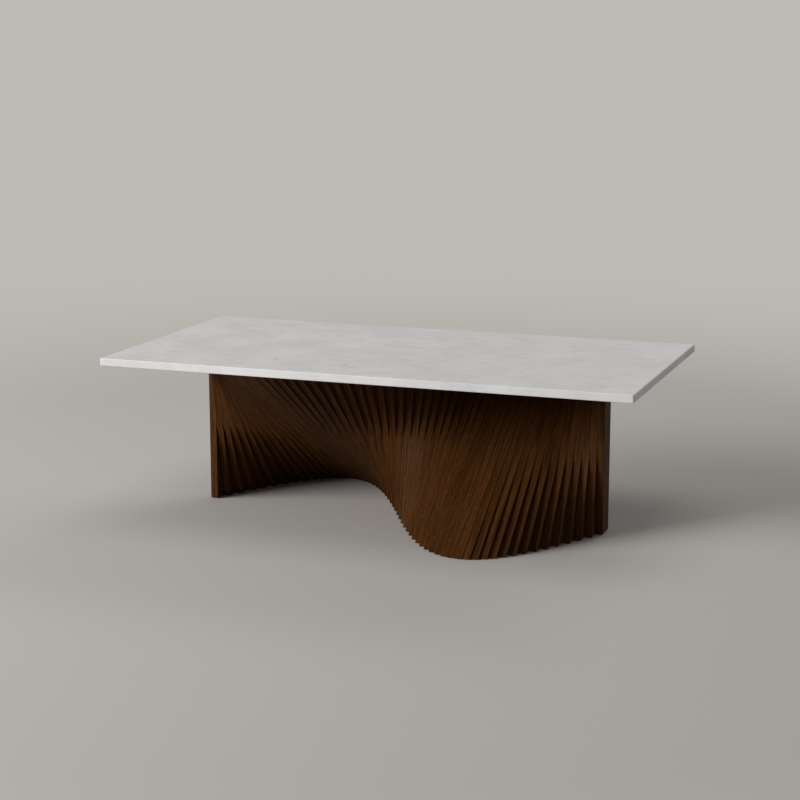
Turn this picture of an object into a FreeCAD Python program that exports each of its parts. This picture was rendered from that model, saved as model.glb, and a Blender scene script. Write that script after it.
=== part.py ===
import FreeCAD, Part
import math
import os

# Coffee table: a stone slab carried by a wave of leaning slats.
# Sizes are in millimetres. +Z is up, +X runs along the table and -Y is its front.
# The origin is on the floor, under the middle of the slab.

# Whole table
table_length = 1350.0
table_width = 700.0
table_height = 425.0

# Stone slab, sawn to size, with all its edges rounded over
slab_thickness = 20.0
slab_edge_radius = 2.5

# The slab stands out past the base by this much at its ends and at its long sides
end_overhang = 142.0
side_overhang = 1.0

# Slats: planed boards that fill the base face to face and are cut level at both ends
slat_count = 57
slat_depth = 58.0
slat_edge_bevel = 0.3

# Rubber pads, stuck to both ends of every few slats, a little smaller than the end all round
pad_margin = 3.5
pad_thickness = 1.5
pad_every = 4

# Tie rod, at half height, where every slat crosses the middle line
rod_diameter = 8.0
rod_clearance = 0.2
rod_tail = 1.5
rod_end_gap = 0.5

# Flange nuts, in the usual proportions to their thread
nut_sides = 6
nut_height_share = 1.0
nut_flats_share = 1.625
nut_flange_share = 2.24
nut_flange_height_share = 0.2
nut_thread_clearance = 0.05
nut_pocket_clearance = 0.5

# A cut runs this far past the face where it starts or ends
cut_overrun = 2.0

# Sizes and places that follow from those above
slat_foot = pad_thickness
slat_head = table_height - slab_thickness - pad_thickness
slat_height = slat_head - slat_foot
last_slat = slat_count - 1
base_length = table_length - 2 * end_overhang
slat_thickness = base_length / slat_count
wave_reach = table_width / 2 - side_overhang - slat_depth / 2
pad_width = slat_thickness - 2 * pad_margin
pad_length = slat_depth - 2 * pad_margin
rod_level = slat_foot + slat_height / 2
pocket_mouth = base_length / 2 - slat_thickness
rod_reach = pocket_mouth - rod_end_gap
nut_height = rod_diameter * nut_height_share
nut_flange_radius = rod_diameter * nut_flange_share / 2
nut_seat = rod_reach - rod_tail - nut_height
along = FreeCAD.Vector(1, 0, 0)
upward = FreeCAD.Vector(0, 0, 1)


def wave(index):
    """How far a slat's head stands behind the middle line: one whole sine wave from end to end."""
    turn = 2 * math.pi * (index / last_slat - 1 / 2)
    return wave_reach * math.sin(turn)


def middle_of(index):
    """Where the middle of a slat's thickness lies along the table."""
    return (index - last_slat / 2) * slat_thickness


def marble_top():
    """A sawn slab with every edge rounded over."""
    corner = FreeCAD.Vector(-table_length / 2, -table_width / 2, table_height - slab_thickness)
    slab = Part.makeBox(table_length, table_width, slab_thickness, corner)
    return slab.makeFillet(slab_edge_radius, slab.Edges)


def slat(index):
    """A board of bevelled section, drawn along the line that leans from its foot to its head."""
    left = middle_of(index) - slat_thickness / 2
    right = left + slat_thickness
    front = -wave(index) - slat_depth / 2
    back = front + slat_depth
    bevel = slat_edge_bevel
    section = [
        (left + bevel, front),
        (right - bevel, front),
        (right, front + bevel),
        (right, back - bevel),
        (right - bevel, back),
        (left + bevel, back),
        (left, back - bevel),
        (left, front + bevel),
    ]
    points = [FreeCAD.Vector(x, y, slat_foot) for x, y in section]
    outline = Part.makePolygon(points + points[:1])
    lean = FreeCAD.Vector(0, 2 * wave(index), slat_height)
    return Part.Face(outline).extrude(lean)


def round_bar(radius, start, end):
    """A round bar along the table, on the line where the slats cross."""
    return Part.makeCylinder(radius, end - start, FreeCAD.Vector(start, 0, rod_level), along)


def drilled_slat(index):
    """A slat with its rod hole and, next to either closing slat, a pocket that sinks the nut."""
    reach = base_length / 2 + cut_overrun
    cuts = [round_bar(rod_diameter / 2 + rod_clearance, -reach, reach)]
    pocket_radius = nut_flange_radius + nut_pocket_clearance
    if index == 1:
        cuts.append(round_bar(pocket_radius, -reach, -nut_seat))
    if index == last_slat - 1:
        cuts.append(round_bar(pocket_radius, nut_seat, reach))
    return slat(index).cut(cuts)


def tie_rod():
    """One plain rod that ends just short of the closing slats."""
    return round_bar(rod_diameter / 2, -rod_reach, rod_reach)


def flange_nut(end):
    """A hexagon on a round flange that bears on the floor of its pocket, around the rod."""
    corner_radius = rod_diameter * nut_flats_share / 2 / math.cos(math.pi / nut_sides)
    corners = []
    for side in range(nut_sides):
        turn = 2 * math.pi * side / nut_sides
        place = FreeCAD.Vector(0, math.cos(turn), math.sin(turn)) * corner_radius
        corners.append(place + upward * rod_level + along * nut_seat)
    hexagon = Part.Face(Part.makePolygon(corners + corners[:1])).extrude(along * nut_height)
    flange_end = nut_seat + rod_diameter * nut_flange_height_share
    flange = round_bar(nut_flange_radius, nut_seat, flange_end)
    hole_radius = rod_diameter / 2 + nut_thread_clearance
    hole = round_bar(hole_radius, nut_seat - cut_overrun, nut_seat + nut_height + cut_overrun)
    nut = hexagon.fuse(flange).cut(hole).removeSplitter()
    if end < 0:
        nut.rotate(FreeCAD.Vector(), upward, math.degrees(math.pi))
    return nut


def pads():
    """A pad under the foot and on the head of every few slats, counted from the middle one."""
    strips = []
    for index in range(last_slat // 2 % pad_every, slat_count, pad_every):
        left = middle_of(index) - pad_width / 2
        for middle, level in ((-wave(index), 0), (wave(index), slat_head)):
            corner = FreeCAD.Vector(left, middle - pad_length / 2, level)
            strips.append(Part.makeBox(pad_width, pad_length, pad_thickness, corner))
    return strips


def save(name, solids):
    """Writes one sub-part, which is one solid or a set of identical ones."""
    shape = solids[0] if len(solids) == 1 else Part.makeCompound(solids)
    shape.exportStep(os.path.join("parts", name + ".step"))


os.makedirs("parts", exist_ok=True)
save("marble_top", [marble_top()])
save("end_slats", [slat(0), slat(last_slat)])
for index in range(1, last_slat):
    save("slat_%02d" % (index + 1), [drilled_slat(index)])
save("tie_rod", [tie_rod()])
save("flange_nuts", [flange_nut(-1), flange_nut(1)])
save("pads", pads())
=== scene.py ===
import math

import bpy
import numpy as np
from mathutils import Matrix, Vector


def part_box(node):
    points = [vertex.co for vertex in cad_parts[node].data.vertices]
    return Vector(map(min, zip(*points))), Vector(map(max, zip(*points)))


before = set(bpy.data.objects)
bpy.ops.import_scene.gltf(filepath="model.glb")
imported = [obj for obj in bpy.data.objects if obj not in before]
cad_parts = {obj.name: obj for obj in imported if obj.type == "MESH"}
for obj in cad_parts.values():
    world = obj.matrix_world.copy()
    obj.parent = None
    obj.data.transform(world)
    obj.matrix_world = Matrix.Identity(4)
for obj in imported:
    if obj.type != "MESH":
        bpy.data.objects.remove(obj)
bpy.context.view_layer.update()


# Slats of the base
# Planed boards of dark stained walnut, glued face to face. Each leans along its own line,
# so the grain is laid out in every board's own directions: across, deep and along it.
slat_names = sorted(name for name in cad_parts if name.startswith("slat_"))
ends_low, ends_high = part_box("end_slats")
steepest_low = min(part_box(name)[0].y for name in slat_names)
slat_count = len(slat_names) + 2
base_half = ends_high.x
slat_thickness = 2 * base_half / slat_count
slat_depth = ends_high.y - ends_low.y
slat_height = ends_high.z - ends_low.z
slat_middle = (ends_high.z + ends_low.z) / 2
wave_reach = -steepest_low - slat_depth / 2
turn_per_slat = 2 * math.pi / (slat_count - 1)

# How far the wear and painted highlight on an arris, and the dark joint line and the painted
# corner shade, reach, in metres
arris_reach = 0.0012
joint_reach = 0.0016
corner_reach = 0.0024

# Slats to a plank, the share of the tone that comes from it, and how far grain differs by slat
plank_slats = 4
plank_share = 0.75
grain_shift = (3.0, 3.0, 5.0)

# Grain in features per metre across, deep and along a slat, and each kind's share
figure_scale = (70.0, 70.0, 2.5)
streak_scale = (320.0, 320.0, 7.0)
fibre_scale = (480.0, 480.0, 60.0)
pore_scale = (1500.0, 1500.0, 60.0)
figure_share = 0.20
streak_share = 0.45
fibre_share = 0.35
grain_range = (0.38, 0.62)
pore_range = (0.58, 0.70)
tone_range = (0.90, 1.15)

# Colours of the wood, and how strongly each shows where it is
dark_stain = (0.0245, 0.0082, 0.0015, 1)
light_stain = (0.0825, 0.0296, 0.0060, 1)
red_stain = (0.064, 0.0200, 0.0038, 1)
pore_stain = (0.013, 0.0046, 0.0012, 1)
# The next colour is paler wood on proud arrises: partly wear, partly a painted highlight
worn_highlight_wood = (0.115, 0.050, 0.016, 1)
# The next colour is dark: a joint line where slats are flush, and painted shade in corners under a
# step
joint_stain_and_shade = (0.006, 0.0022, 0.0006, 1)
red_strength = 0.15
pore_strength = 0.5
# The next value is how strongly the wear and painted highlight show on an arris
worn_highlight_strength = 0.30
# The next value is how strongly the joint lines and painted corner shade show
joint_and_shade_strength = 0.9

# Sheen and relief of the oiled surface
fibre_range = (0.3, 0.7)
wood_roughness = (0.62, 0.50)
wood_gloss = 0.06
pore_depth = 0.8


def place(tree, kind, inputs=None, **settings):
    """One shader node. Settings are its properties, an input is a socket to link or a constant."""
    made = tree.nodes.new("ShaderNode" + kind)
    for name, value in settings.items():
        setattr(made, name, value)
    for key, value in (inputs or {}).items():
        if isinstance(value, bpy.types.NodeSocket):
            tree.links.new(value, made.inputs[key])
        else:
            made.inputs[key].default_value = value
    return made


def calc(tree, operation, *terms):
    """The result of one Math node on sockets and constants."""
    return place(tree, "Math", dict(enumerate(terms)), operation=operation).outputs[0]


def joined(tree, *axes):
    """A vector from three values."""
    return place(tree, "CombineXYZ", dict(enumerate(axes))).outputs[0]


def scaled(tree, vector, factors):
    """A vector times a constant vector, axis by axis."""
    return place(tree, "VectorMath", {0: vector, 1: factors}, operation="MULTIPLY").outputs[0]


def chance(tree, number):
    """A fixed random value and colour for a whole number."""
    return place(tree, "TexWhiteNoise", {"W": number}, noise_dimensions="1D").outputs


def noise(tree, vector, detail, roughness, distortion=0.0):
    """Cloudy noise from 0 to 1 at one feature per unit of the vector."""
    inputs = {"Vector": vector, "Scale": 1.0, "Detail": detail, "Roughness": roughness}
    inputs["Distortion"] = distortion
    return place(tree, "TexNoise", inputs).outputs[0]


def spread(tree, value, low, high, out_low=0.0, out_high=1.0):
    """The value taken smoothly from one range to another and held at its ends."""
    inputs = {0: value, 1: low, 2: high, 3: out_low, 4: out_high}
    return place(tree, "MapRange", inputs, interpolation_type="SMOOTHSTEP").outputs[0]


def tint(tree, factor, first, second, blend="MIX"):
    """Two colours mixed, or blended in another way, by a factor."""
    inputs = {0: factor, 6: first, 7: second}
    settings = {"data_type": "RGBA", "blend_type": blend, "clamp_factor": True}
    return place(tree, "Mix", inputs, **settings).outputs[2]


def partly(tree, mask, strength, first, second):
    """The first colour, with the second over it by a mask times a constant strength."""
    return tint(tree, calc(tree, "MULTIPLY", mask, strength), first, second)


def emboss(tree, shader, height, strength, distance):
    """Gives a shader relief from a height."""
    bump = place(tree, "Bump", {"Height": height, "Strength": strength, "Distance": distance})
    tree.links.new(bump.outputs[0], shader.inputs["Normal"])


def new_group(name, inputs, outputs):
    """An empty shader node group with named sockets, and its input and output nodes."""
    tree = bpy.data.node_groups.new(name, "ShaderNodeTree")
    for socket, kind in inputs.items():
        tree.interface.new_socket(socket, in_out="INPUT", socket_type="NodeSocket" + kind)
    for socket, kind in outputs.items():
        tree.interface.new_socket(socket, in_out="OUTPUT", socket_type="NodeSocket" + kind)
    return tree, tree.nodes.new("NodeGroupInput"), tree.nodes.new("NodeGroupOutput")


def new_material(name):
    """A material with one Principled BSDF, and its tree and shader."""
    material = bpy.data.materials.new(name)
    material.use_nodes = True
    return material, material.node_tree, material.node_tree.nodes["Principled BSDF"]


def dress(node, material):
    """Gives a CAD node its finish."""
    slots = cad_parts[node].data.materials
    slots.clear()
    slots.append(material)


def lean_at(tree, turn):
    """How far a slat moves back for each metre up: twice the sine wave over the height."""
    return calc(tree, "MULTIPLY", calc(tree, "SINE", turn), 2 * wave_reach / slat_height)


def board_lie():
    """Places on a slat. Its number is the floor of x over the thickness, read a little inside its
    faces. The place across is x from the slat's middle, and the places deep and along are y and z
    turned by the lean. Slats sawn from one plank share most of their tone. A slat steps back from
    its neighbour by the difference of their leans times the height above the middle. An arris is
    an edge that stands proud; its mask gives wear and a painted highlight. A corner is where the
    two meet; its mask gives a fine dark joint line where they are flush, and painted shade that
    widens under a step."""
    outputs = {"Place": "Vector", "Tone": "Float", "Hue": "Float"}
    outputs.update({"Arris": "Float", "Corner": "Float"})
    tree, _, out = new_group("board lie", {}, outputs)

    # The slat's number and lean, and the place on it
    spot = place(tree, "SeparateXYZ", {0: place(tree, "TexCoord").outputs["Object"]}).outputs
    normal = place(tree, "NewGeometry").outputs["Normal"]
    facing = place(tree, "SeparateXYZ", {0: normal}).outputs
    inside = calc(tree, "MULTIPLY_ADD", facing[0], -slat_thickness / 4, spot[0])
    steps = calc(tree, "DIVIDE", calc(tree, "ADD", inside, base_half), slat_thickness)
    number = calc(tree, "FLOOR", steps)
    first_middle = slat_thickness / 2 - base_half
    middle = calc(tree, "MULTIPLY_ADD", number, slat_thickness, first_middle)
    across = calc(tree, "SUBTRACT", spot[0], middle)
    turn = calc(tree, "MULTIPLY_ADD", number, turn_per_slat, -math.pi)
    lean = lean_at(tree, turn)
    length = calc(tree, "SQRT", calc(tree, "MULTIPLY_ADD", lean, lean, 1.0))
    height = calc(tree, "SUBTRACT", spot[2], slat_middle)
    offset = calc(tree, "SUBTRACT", spot[1], calc(tree, "MULTIPLY", lean, height))
    deep = calc(tree, "DIVIDE", offset, length)
    rise = calc(tree, "MULTIPLY_ADD", lean, spot[1], height)
    along = calc(tree, "DIVIDE", rise, length)
    own = chance(tree, number)
    here = {0: joined(tree, across, deep, along), 1: scaled(tree, own[1], grain_shift)}
    moved = place(tree, "VectorMath", here, operation="ADD").outputs[0]
    tree.links.new(moved, out.inputs["Place"])

    # Tone and hue
    plank = calc(tree, "FLOOR", calc(tree, "DIVIDE", number, plank_slats))
    own_tone = calc(tree, "MULTIPLY", own[0], 1 - plank_share)
    tone = calc(tree, "MULTIPLY_ADD", chance(tree, plank)[0], plank_share, own_tone)
    tree.links.new(tone, out.inputs["Tone"])
    tree.links.new(place(tree, "SeparateXYZ", {0: own[1]}).outputs[1], out.inputs["Hue"])

    # The step to the nearer neighbour, which the outer sides of the end slats lack
    side_room = calc(tree, "SUBTRACT", slat_thickness / 2, calc(tree, "ABSOLUTE", across))
    face_room = calc(tree, "SUBTRACT", slat_depth / 2, calc(tree, "ABSOLUTE", offset))
    side = calc(tree, "SIGN", across)
    next_lean = lean_at(tree, calc(tree, "MULTIPLY_ADD", side, turn_per_slat, turn))
    step = calc(tree, "MULTIPLY", calc(tree, "SUBTRACT", next_lean, lean), height)
    proud = calc(tree, "MULTIPLY", step, calc(tree, "SIGN", offset))
    next_number = calc(tree, "ADD", number, side)
    from_middle = calc(tree, "SUBTRACT", next_number, (slat_count - 1) / 2)
    alone = calc(tree, "GREATER_THAN", calc(tree, "ABSOLUTE", from_middle), slat_count / 2)

    # Worn edges, with a painted highlight on the arrises that stand proud
    uncovered = spread(tree, proud, -arris_reach, 0.0, 1.0, 0.0)
    standing = calc(tree, "MAXIMUM", uncovered, alone)
    edge_distance = calc(tree, "ADD", side_room, face_room)
    edge = spread(tree, edge_distance, arris_reach / 4, arris_reach, 1.0, 0.0)
    tree.links.new(calc(tree, "MULTIPLY", edge, standing), out.inputs["Arris"])

    # Dark joint lines, and painted shade in the corners under a step
    drop = calc(tree, "ABSOLUTE", proud)
    to_face = calc(tree, "ADD", face_room, calc(tree, "MINIMUM", proud, 0.0))
    corner_distance = calc(tree, "MAXIMUM", side_room, calc(tree, "ABSOLUTE", to_face))
    reach = spread(tree, drop, 0.0, corner_reach, joint_reach, corner_reach)
    near = spread(tree, corner_distance, 0.0, reach, 1.0, 0.0)
    covered = calc(tree, "SUBTRACT", 1.0, alone)
    tree.links.new(calc(tree, "MULTIPLY", near, covered), out.inputs["Corner"])
    return tree


def stained_walnut():
    """Dark oiled wood: broad figure, streaks, short fibre and pores. It is paler on a proud arris,
    partly wear and partly a painted highlight, and darker in a joint, with painted shade in a
    corner under a step."""
    material, tree, shader = new_material("stained_walnut")
    lie = place(tree, "Group", node_tree=board_lie()).outputs
    figure_place = scaled(tree, lie["Place"], figure_scale)
    figure = noise(tree, figure_place, detail=3.0, roughness=0.5, distortion=0.8)
    streaks = noise(tree, scaled(tree, lie["Place"], streak_scale), detail=3.0, roughness=0.55)
    fibre = noise(tree, scaled(tree, lie["Place"], fibre_scale), detail=3.0, roughness=0.65)
    pores = noise(tree, scaled(tree, lie["Place"], pore_scale), detail=1.0, roughness=0.5)
    broad = calc(tree, "MULTIPLY", figure, figure_share)
    long_grain = calc(tree, "MULTIPLY_ADD", streaks, streak_share, broad)
    grain = calc(tree, "MULTIPLY_ADD", fibre, fibre_share, long_grain)
    stained = tint(tree, spread(tree, grain, *grain_range), dark_stain, light_stain)
    tone = spread(tree, lie["Tone"], 0.0, 1.0, *tone_range)
    toned = tint(tree, 1.0, stained, joined(tree, tone, tone, tone), "MULTIPLY")
    reddish = partly(tree, lie["Hue"], red_strength, toned, red_stain)
    pore_mask = spread(tree, pores, *pore_range)
    pored = partly(tree, pore_mask, pore_strength, reddish, pore_stain)
    # Wear and a painted highlight on the arrises that stand proud
    worn_and_highlit = partly(tree, lie["Arris"], worn_highlight_strength, pored, worn_highlight_wood)
    # A dark joint line where slats are flush, and painted shade in the corner under a step
    joint_stained_and_shaded = partly(tree, lie["Corner"], joint_and_shade_strength, worn_and_highlit, joint_stain_and_shade)
    tree.links.new(joint_stained_and_shaded, shader.inputs["Base Color"])
    roughness = spread(tree, fibre, *fibre_range, *wood_roughness)
    tree.links.new(roughness, shader.inputs["Roughness"])
    shader.inputs["Specular IOR Level"].default_value = wood_gloss
    relief = calc(tree, "MULTIPLY_ADD", pore_mask, -pore_depth, fibre)
    emboss(tree, shader, relief, strength=0.25, distance=0.0003)
    return material


walnut = stained_walnut()
for slat in ["end_slats"] + slat_names:
    dress(slat, walnut)


# Tie rod and flange nuts
# Zinc-plated threaded steel that runs through the slats at half height, hidden in the wood.
# The nuts sit in pockets under the closing slats, and the thread is rolled on the whole rod.
thread_pitch = 0.00125
zinc_scale = 400.0
dull_zinc = (0.52, 0.52, 0.50, 1)
bright_zinc = (0.70, 0.69, 0.66, 1)
zinc_range = (0.3, 0.7)
zinc_roughness = (0.25, 0.42)
zinc_depth = 0.1


def mottle_group():
    """Cloudy noise at a scale in features per metre, for finishes that are uneven all over."""
    tree, given, out = new_group("mottle", {"Scale": "Float"}, {"Cloud": "Float"})
    spot = place(tree, "TexCoord").outputs["Object"]
    scale = given.outputs["Scale"]
    inputs = {"Vector": spot, "Scale": scale, "Detail": 3.0, "Roughness": 0.6}
    tree.links.new(place(tree, "TexNoise", inputs).outputs[0], out.inputs["Cloud"])
    return tree


mottle = mottle_group()


def zinc_plate(name, threaded):
    """Bright plated steel with a cloudy finish. A thread is a ridge whose phase is the length in
    pitches less the angle round the rod in turns."""
    material, tree, shader = new_material(name)
    cloud = place(tree, "Group", {"Scale": zinc_scale}, node_tree=mottle).outputs["Cloud"]
    tree.links.new(tint(tree, cloud, dull_zinc, bright_zinc), shader.inputs["Base Color"])
    shader.inputs["Metallic"].default_value = 1.0
    roughness = spread(tree, cloud, *zinc_range, *zinc_roughness)
    tree.links.new(roughness, shader.inputs["Roughness"])
    relief = calc(tree, "MULTIPLY", cloud, zinc_depth)
    if threaded:
        spot = place(tree, "TexCoord").outputs["Object"]
        axes = place(tree, "SeparateXYZ", {0: spot}).outputs
        angle = calc(tree, "ARCTAN2", axes[1], calc(tree, "SUBTRACT", axes[2], slat_middle))
        pitches = calc(tree, "MULTIPLY", axes[0], 2 * math.pi / thread_pitch)
        ridge = calc(tree, "SINE", calc(tree, "SUBTRACT", pitches, angle))
        relief = calc(tree, "ADD", relief, ridge)
    emboss(tree, shader, relief, strength=0.6, distance=0.0003)
    return material


dress("tie_rod", zinc_plate("zinc_rod", True))
dress("flange_nuts", zinc_plate("zinc_nut", False))


# Pads
# Strips of black rubber sheet, stuck to the ends of every fourth slat: the table stands on the
# lower ones, and the slab lies on the upper ones.
rubber_scale = 1500.0
dark_rubber = (0.012, 0.012, 0.012, 1)
light_rubber = (0.035, 0.034, 0.033, 1)
rubber_range = (0.2, 0.8)
rubber_roughness = (0.75, 0.9)


def pad_rubber():
    """Matt black rubber with a fine grain."""
    material, tree, shader = new_material("pad_rubber")
    grain = place(tree, "Group", {"Scale": rubber_scale}, node_tree=mottle).outputs["Cloud"]
    tree.links.new(tint(tree, grain, dark_rubber, light_rubber), shader.inputs["Base Color"])
    roughness = spread(tree, grain, *rubber_range, *rubber_roughness)
    tree.links.new(roughness, shader.inputs["Roughness"])
    emboss(tree, shader, grain, strength=0.3, distance=0.0002)
    return material


dress("pads", pad_rubber())


# Marble top
# One slab of white marble, honed, with faint grey clouds and short wisps and a few thin veins
# that run through its thickness. It lies on the pads by its own weight.
drift_scale = 4.0
drift_reach = (0.16, 0.16, 0.16)
cloud_scale = (8.0, 8.0, 8.0)
wisp_scale = (26.0, 26.0, 26.0)
vein_scale = (2.2, 3.4, 3.4)
cloud_range = (0.32, 0.68)
wisp_range = (0.48, 0.68)
vein_middle = 0.5
vein_width = 0.010
grey_cloud = (0.602, 0.596, 0.590, 1)
white_stone = (0.673, 0.666, 0.657, 1)
grey_wisp = (0.541, 0.537, 0.534, 1)
grey_vein = (0.41, 0.40, 0.39, 1)
wisp_strength = 0.40
vein_strength = 0.40
hone_range = (0.3, 0.7)
hone_roughness = (0.40, 0.48)


def honed_marble():
    """White stone: clouds and wisps are warped noise, and veins are where a larger noise is near
    its middle."""
    material, tree, shader = new_material("honed_marble")
    spot = place(tree, "TexCoord").outputs["Object"]
    drift_inputs = {"Vector": spot, "Scale": drift_scale, "Detail": 3.0}
    drift = place(tree, "TexNoise", drift_inputs).outputs[1]
    warp_inputs = {0: drift, 1: drift_reach, 2: spot}
    warped = place(tree, "VectorMath", warp_inputs, operation="MULTIPLY_ADD").outputs[0]
    clouds = noise(tree, scaled(tree, warped, cloud_scale), detail=4.0, roughness=0.55)
    wisps = noise(tree, scaled(tree, warped, wisp_scale), detail=4.0, roughness=0.6)
    seam = noise(tree, scaled(tree, warped, vein_scale), detail=3.0, roughness=0.5)
    distance = calc(tree, "ABSOLUTE", calc(tree, "SUBTRACT", seam, vein_middle))
    vein = spread(tree, distance, 0.0, vein_width, 1.0, 0.0)
    patchy = spread(tree, wisps, *wisp_range)
    whole = tint(tree, spread(tree, clouds, *cloud_range), grey_cloud, white_stone)
    wispy = partly(tree, patchy, wisp_strength, whole, grey_wisp)
    broken_vein = calc(tree, "MULTIPLY", vein, patchy)
    veined = partly(tree, broken_vein, vein_strength, wispy, grey_vein)
    tree.links.new(veined, shader.inputs["Base Color"])
    roughness = spread(tree, wisps, *hone_range, *hone_roughness)
    tree.links.new(roughness, shader.inputs["Roughness"])
    return material


dress("marble_top", honed_marble())


# Floor
# A plain pale floor. Far from the table it passes over into the pale surround, so that no
# horizon shows.
floor_half = 60.0
floor_colour = (0.497, 0.472, 0.441, 1)
floor_roughness = 0.8
floor_gloss = 0.2
surround_colour = (0.508, 0.491, 0.456, 1)
fade_start = 1.7
fade_end = 5.0


def flat_sheet(name, half):
    """A level square at z = 0, from -half to half both ways."""
    corners = np.array([(-1, -1, 0), (1, -1, 0), (1, 1, 0), (-1, 1, 0)]) * half
    mesh = bpy.data.meshes.new(name)
    mesh.from_pydata(corners.tolist(), [], [(0, 1, 2, 3)])
    made = bpy.data.objects.new(name, mesh)
    bpy.context.scene.collection.objects.link(made)
    return made


def seen(tree):
    """1 for what the camera sees, straight or in a reflection, and 0 for what only gives light."""
    ray = place(tree, "LightPath").outputs
    mirrored = calc(tree, "MAXIMUM", ray["Is Glossy Ray"], ray["Is Transmission Ray"])
    return calc(tree, "MAXIMUM", ray["Is Camera Ray"], mirrored)


def pale_floor():
    """A matt floor. Its share of the surround's colour grows as one over the distance falls."""
    material, tree, shader = new_material("pale_floor")
    shader.inputs["Base Color"].default_value = floor_colour
    shader.inputs["Roughness"].default_value = floor_roughness
    shader.inputs["Specular IOR Level"].default_value = floor_gloss
    spot = place(tree, "TexCoord").outputs["Object"]
    away = place(tree, "VectorMath", {0: spot}, operation="LENGTH").outputs["Value"]
    nearness = calc(tree, "DIVIDE", 1.0, away)
    fade = spread(tree, nearness, 1 / fade_end, 1 / fade_start, 1.0, 0.0)
    far = calc(tree, "MULTIPLY", fade, seen(tree))
    glow = place(tree, "Emission", {"Color": surround_colour, "Strength": 1.0})
    mixed = place(tree, "MixShader", {0: far, 1: shader.outputs[0], 2: glow.outputs[0]})
    tree.links.new(mixed.outputs[0], tree.nodes["Material Output"].inputs["Surface"])
    return material


floor = flat_sheet("floor", floor_half)
floor.data.materials.append(pale_floor())


# Light
# Three soft lamps: a wide one low at the front left, a weaker one behind the table and a square
# one overhead. The surround around them is dim as a light and pale to look at.
surround_level = 0.15
key_bearing = math.radians(55.0)
fill_bearing = math.radians(200.0)
key_height = math.radians(17.5)
fill_height = math.radians(35.0)
lamp_distance = 9.0
lamp_size = (6.0, 2.1)
key_power = 1060.0
fill_power = 150.0
overhead_height = 6.0
overhead_size = (3.5, 3.5)
overhead_power = 60.0
lamp_aim = (0.0, 0.0, slat_middle)

world = bpy.data.worlds.new("surround")
world.use_nodes = True
world_tree = world.node_tree
light_colour = (surround_level, surround_level, surround_level, 1)
world_colour = tint(world_tree, seen(world_tree), light_colour, surround_colour)
world_tree.links.new(world_colour, world_tree.nodes["Background"].inputs["Color"])
bpy.context.scene.world = world


def soft_lamp(name, spot, size, power):
    """A rectangular lamp at a place, turned towards the base and hidden from the camera."""
    data = bpy.data.lights.new(name, "AREA")
    data.shape = "RECTANGLE"
    data.size, data.size_y = size
    data.energy = power
    lamp = bpy.data.objects.new(name, data)
    lamp.location = spot
    way = np.array(lamp_aim) - np.array(spot)
    across = math.hypot(way[0], way[1])
    lamp.rotation_euler = (math.atan2(across, -way[2]), 0.0, math.atan2(-way[0], way[1]))
    lamp.visible_camera = False
    bpy.context.scene.collection.objects.link(lamp)


def around(bearing, height):
    """A place round the base. The bearing counts from the front towards the left, and the height
    from level."""
    reach = lamp_distance * math.cos(height)
    level = slat_middle + lamp_distance * math.sin(height)
    return (-reach * math.sin(bearing), -reach * math.cos(bearing), level)


soft_lamp("key_lamp", around(key_bearing, key_height), lamp_size, key_power)
soft_lamp("fill_lamp", around(fill_bearing, fill_height), lamp_size, fill_power)
soft_lamp("overhead_lamp", (0.0, 0.0, overhead_height), overhead_size, overhead_power)


# Camera
# The photograph's viewpoint: to the right of the front, above the slab, looking a little down.
# It has no shift, so that other views stay centred.
camera_place = (1.5757, -4.3727, 1.2599)
camera_heading = math.radians(19.927)
camera_dip = math.radians(11.692)
camera_lens = 83.817

camera_data = bpy.data.cameras.new("camera")
camera_data.lens = camera_lens
camera = bpy.data.objects.new("camera", camera_data)
camera.location = camera_place
camera.rotation_euler = (math.pi / 2 - camera_dip, 0.0, camera_heading)
bpy.context.scene.collection.objects.link(camera)
bpy.context.scene.camera = camera
bpy.context.scene.view_settings.view_transform = "Standard"
